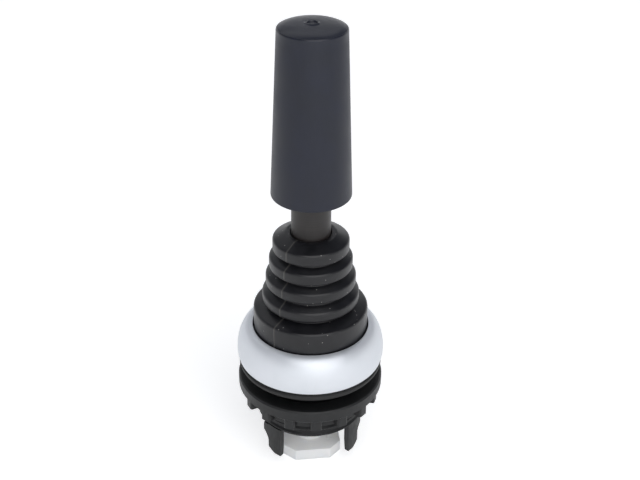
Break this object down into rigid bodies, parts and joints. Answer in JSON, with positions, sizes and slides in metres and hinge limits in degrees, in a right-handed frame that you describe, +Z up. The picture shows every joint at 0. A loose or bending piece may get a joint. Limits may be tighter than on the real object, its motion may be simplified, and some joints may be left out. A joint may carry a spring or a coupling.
{
  "type": "industrial joystick",
  "caption": "Panel joystick operator: tapered grip on a sprung lever in a rubber boot, satin front ring, ribbed panel nut, adapter legs and a white actuator plate.",
  "frame": {"origin": "centre of the gasket's sealing face, on the front of the panel", "axes": "+Z up the lever at rest, out of the panel; -Y the side nearest the user; the two tilt axes lie along X and Y and the legs stand on the diagonals"},
  "size_m": [0.0296, 0.0296, 0.0937],
  "materials": {
    "black_polyamide": "fine moulded texture",
    "black_rubber": "matte",
    "boot_rubber": "satin",
    "satin_titanium_plate": "satin",
    "steel_plate": "zinc plated",
    "spring_steel": "drawn wire",
    "ground_steel": "ground",
    "zinc_casting": "die cast",
    "natural_acetal": "satin",
    "white_acetal": "satin",
    "dark_sleeve": "satin",
    "turned_brass": "knurled",
    "grip_plastic": "fine moulded texture"
  },
  "bodies": {
    "housing": {"operator_body": "black_polyamide", "panel_gasket": "black_rubber", "bezel_ring": "satin_titanium_plate", "boot_clamp_ring": "black_polyamide", "bellows": "boot_rubber", "travel_gate": "steel_plate", "spring_seat_washer": "steel_plate", "return_spring": "spring_steel", "gimbal_pivot_pins": "ground_steel"},
    "gimbal": {"gimbal_ring": "zinc_casting", "cross_pin": "ground_steel"},
    "lever": {"lever_rod": "ground_steel", "lever_hub": "natural_acetal", "spring_cap": "natural_acetal", "lever_sleeve": "dark_sleeve", "grip_lock_nut": "steel_plate", "grip": "grip_plastic", "grip_insert": "turned_brass", "actuator_plate": "white_acetal", "actuator_nut": "steel_plate", "actuator_lock_washer": "spring_steel"},
    "ring_nut": {"ring_nut": "black_polyamide"}
  },
  "joints": [
    {"name": "tilt_fore_aft", "type": "hinge", "parent": "housing", "child": "gimbal", "pos_m": [0, 0, -0.0098], "axis": [1, 0, 0], "range_deg": [-10, 10], "stiffness_Nm_per_rad": 1, "deforming": ["bellows", "return_spring"]},
    {"name": "tilt_left_right", "type": "hinge", "parent": "gimbal", "child": "lever", "pos_m": [0, 0, -0.0098], "axis": [0, 1, 0], "range_deg": [-10, 10], "stiffness_Nm_per_rad": 1, "deforming": ["bellows", "return_spring"]},
    {"name": "ring_nut_travel", "type": "slide", "parent": "housing", "child": "ring_nut", "axis": [0, 0, -1], "range_m": [-0.0025, 0.0035]}
  ]
}
